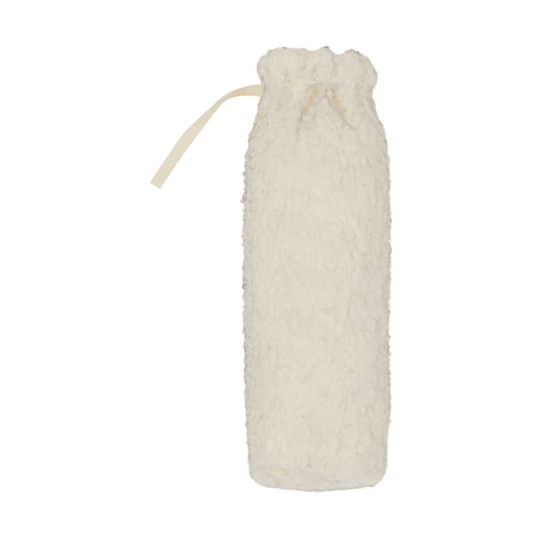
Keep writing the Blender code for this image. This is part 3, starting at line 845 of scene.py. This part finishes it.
curl_material = lock_material(pile_colours)
pile_pieces = {node: [] for node in panels}
OPPOSITE = {"front_panel": "back_panel", "back_panel": "front_panel"}
pile_surface = surface_of([panel.data for panel in panels.values()])
for node, panel in panels.items():
    draw = np.random.default_rng(LOCK_SEEDS[node])
    other = surface_of([panels[OPPOSITE[node]].data])
    points, normals = read_points(panel.data)
    outer = np.nonzero((normals * away_from_axis(points)).sum(1) > OUTWARD)[0]
    starts = points[outer] + draw.uniform(-START_SPREAD, START_SPREAD, (len(outer), 3)) * VOXEL
    roots = outer[scatter(starts, LOCK_SPACING, LOCK_STRETCH, draw)]
    at_seam = np.array([other.find_nearest(point, SEAM_REACH)[0] is not None for point in points[roots]])
    roots = np.concatenate([roots, np.repeat(roots[at_seam], SEAM_EXTRA)])
    crossing = np.concatenate([at_seam, np.ones(SEAM_EXTRA * at_seam.sum(), bool)])
    count = len(roots)
    shuffled = draw.permutation(count)
    roots, crossing = roots[shuffled], crossing[shuffled]
    jitter = draw.normal(0.0, LOCK_JITTER, (count, 3))
    lengths = draw.uniform(*LOCK_LENGTH, count)
    widths = draw.uniform(*LOCK_WIDTH, count)
    broad = (draw.random(count) < BROAD_SHARE) & ~crossing
    widths[broad] += draw.uniform(*BROAD_EXTRA, int(broad.sum()))
    lengths[broad] *= BROAD_STRETCH
    paths = lock_paths(points[roots] + jitter, normals[roots], LOCK_RINGS, lengths, LOCK_TURN, crossing, draw)
    places, up = onto_body(paths, pile_surface)
    lift = lock_lifts(points[roots], normals[roots], widths, crossing, draw)
    # each lock's middle is smoothed along it, so that it bridges the body's small lumps
    places[:, 1:-1] = 0.6 * places[:, 1:-1] + 0.2 * (places[:, 2:] + places[:, :-2])
    centres = places + up * lift[:, :, None]
    widths = widths[:, None] * LOCK_TAPER
    spots = centres.reshape(-1, 3)
    # painted warm shade in the gathers and partings, by their depth
    crease_and_parting_shade = np.maximum(
        gather_shade_share(crease_depth(spots, CREASES)),
        PARTING_SHADE_SHARE * parting_depth(spots) / PARTING_DEPTH,
    )
    levels = {
        # painted shade: each lock is lighter the higher it lifts over the body
        "pile_shade_level": np.clip(LOCK_LEVEL + lift / LEVEL_LIFT * LOCK_LEVEL_RISE, 0.0, 1.0),
        "tint": np.repeat(draw.random(count)[:, None], LOCK_RINGS, axis=1),
        "gather": crease_and_parting_shade.reshape(count, -1),
    }
    for k in range(0, count, LOCKS_A_PIECE):
        part = slice(k, k + LOCKS_A_PIECE)
        name = f"{node.split('_')[0]}_curls_{k // LOCKS_A_PIECE + 1}"
        chosen = {label: values[part] for label, values in levels.items()}
        piece = lock_mesh(name, centres[part], up[part], widths[part], LOCK_FLATTEN, chosen, curl_material)
        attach(piece, "root")
        pile_pieces[node].append(piece)

# ---- Loose fibres ----
# Fine wisps that stand a little out of the curls all over, and blur the cover's outline.
WISP_SEEDS = {"front_panel": 31, "back_panel": 32}
WISP_SPACING = 3.0 * MM
WISP_STRETCH = 1.2
WISPS_ON_TOP = 0.28  # the share of them that is kept where the pile lies flat
WISP_LENGTH = (3.0 * MM, 5.5 * MM)
WISP_TURN = radians(60)
WISP_RINGS = 4
WISP_LIFT = np.array([0.5, 1.3, 1.9, 2.0]) * MM  # over the body, and its width, at each ring
WISP_WIDTHS = np.array([0.28, 0.26, 0.2, 0.1]) * MM
WISP_LIFT_ON_TOP, WISP_LIFT_SPREAD = 0.4, (0.6, 1.3)
WISP_FLATTEN = 0.9

for node, panel in panels.items():
    draw = np.random.default_rng(WISP_SEEDS[node])
    points, normals = read_points(panel.data)
    outer = np.nonzero((normals * away_from_axis(points)).sum(1) > OUTWARD)[0]
    roots = outer[scatter(points[outer], WISP_SPACING, WISP_STRETCH, draw)]
    roots = roots[draw.random(len(roots)) < WISPS_ON_TOP + (1 - WISPS_ON_TOP) * on_the_side(normals[roots])]
    count = len(roots)
    lengths = draw.uniform(*WISP_LENGTH, count)
    paths = lock_paths(points[roots], normals[roots], WISP_RINGS, lengths, WISP_TURN, np.zeros(count), draw)
    places, up = onto_body(paths, pile_surface)
    lift = WISP_LIFT * draw.uniform(*WISP_LIFT_SPREAD, count)[:, None]
    lift *= (WISP_LIFT_ON_TOP + (1 - WISP_LIFT_ON_TOP) * on_the_side(normals[roots]))[:, None]
    centres = places + up * lift[:, :, None]
    widths = np.tile(WISP_WIDTHS, (count, 1))
    levels = {
        "pile_shade_level": np.ones((count, WISP_RINGS)),
        "tint": np.repeat(draw.random(count)[:, None], WISP_RINGS, axis=1),
        "gather": gather_shade_share(crease_depth(centres.reshape(-1, 3), CREASES)).reshape(count, -1),
    }
    name = f"{node.split('_')[0]}_fibres"
    piece = lock_mesh(name, centres, up, widths, WISP_FLATTEN, levels, curl_material)
    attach(piece, "root")
    pile_pieces[node].append(piece)

# ---- Light and floor ----
# A pale floor under soft, nearly even studio light: most of it from overhead, with a little from the upper
# left and, cooler, from the foot of the picture. The floor glows a little, so that it shows white.
FLOOR_SIZE = 4.0
FLOOR_GREY, FLOOR_GLOW = 0.82, 0.4
SKY_COLOUR, SKY_STRENGTH = (0.935, 0.975, 1.05, 1.0), 0.42
bpy.ops.object.select_all(action="DESELECT")
bpy.ops.mesh.primitive_plane_add(size=FLOOR_SIZE, location=(0, 0, 0))
floor = bpy.context.object
floor.name = "floor"
floor_material = bpy.data.materials.new("pale_floor")
floor_material.use_nodes = True
floor_shader = floor_material.node_tree.nodes["Principled BSDF"]
floor_shader.inputs["Base Color"].default_value = (FLOOR_GREY, FLOOR_GREY, FLOOR_GREY, 1)
floor_shader.inputs["Emission Color"].default_value = (1.0, 1.0, 1.0, 1)
floor_shader.inputs["Emission Strength"].default_value = FLOOR_GLOW
floor_shader.inputs["Roughness"].default_value = 0.9
floor_shader.inputs["Specular IOR Level"].default_value = 0.1
floor.data.materials.append(floor_material)

world = bpy.data.worlds.new("studio")
bpy.context.scene.world = world
world.use_nodes = True
sky = world.node_tree.nodes["Background"]
sky.inputs["Color"].default_value = SKY_COLOUR
sky.inputs["Strength"].default_value = SKY_STRENGTH


def add_area_light(name, location, size, power, colour):
    """A soft box that points at the frame's origin, under the middle of the cover; its power is in watts."""
    light = bpy.data.lights.new(name, "AREA")
    light.color = colour
    light.size = size
    light.energy = power
    made = bpy.data.objects.new(name, light)
    made.location = location
    made.rotation_euler = (-Vector(location)).to_track_quat("-Z", "Y").to_euler()
    bpy.context.scene.collection.objects.link(made)


add_area_light("key", location=(-0.9, 1.0, 1.6), size=0.9, power=4.3, colour=(1.0, 0.97, 0.91))
add_area_light("overhead", location=(0.0, 0.1, 2.2), size=1.0, power=17.8, colour=(1.0, 0.962, 0.89))
add_area_light("foot", location=(0.2, -1.6, 0.8), size=1.0, power=3.5, colour=(0.94, 0.975, 1.04))
bpy.context.scene.view_settings.view_transform = "Standard"
